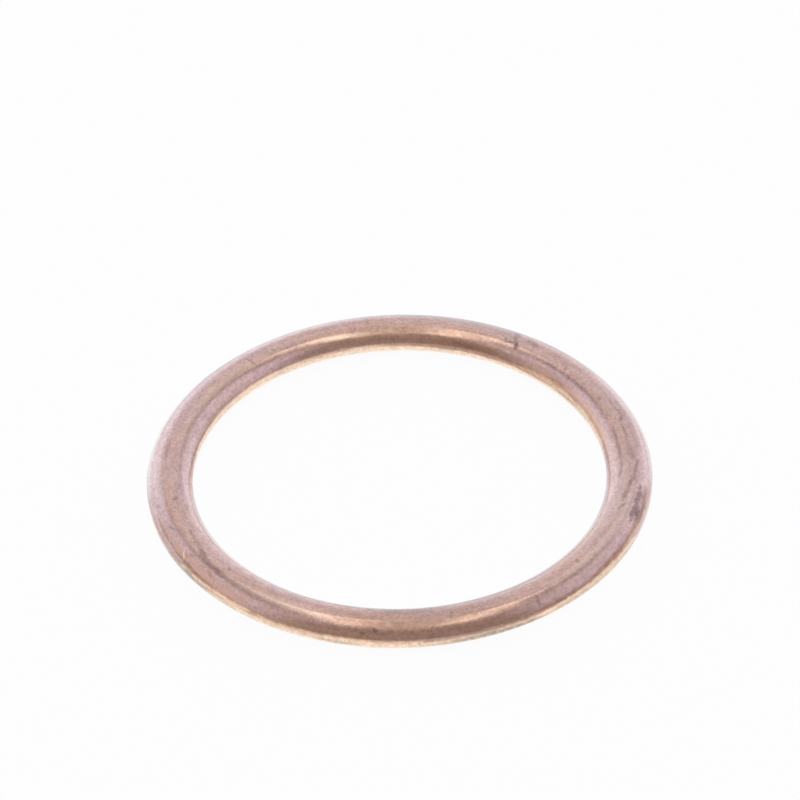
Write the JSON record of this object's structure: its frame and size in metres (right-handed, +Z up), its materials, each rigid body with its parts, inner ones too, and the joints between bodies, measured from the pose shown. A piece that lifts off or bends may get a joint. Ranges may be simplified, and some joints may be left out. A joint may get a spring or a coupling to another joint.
{
  "type": "exhaust gasket ring",
  "caption": "Plain copper sealing ring of oval section that lies between an exhaust port and the end of its pipe.",
  "frame": {"origin": "middle of the base, on the ring axis, at the height of the surface that the ring lies on", "axes": "+Z up along the ring axis; +X and +Y are alike, because the ring has no mark that sets a front"},
  "size_m": [0.044, 0.044, 0.0026],
  "materials": {
    "aged_copper": "dull pinkish copper with a thin mottled tarnish and a soft sheen"
  },
  "bodies": {
    "root": {"gasket_ring": "aged_copper"}
  },
  "joints": []
}
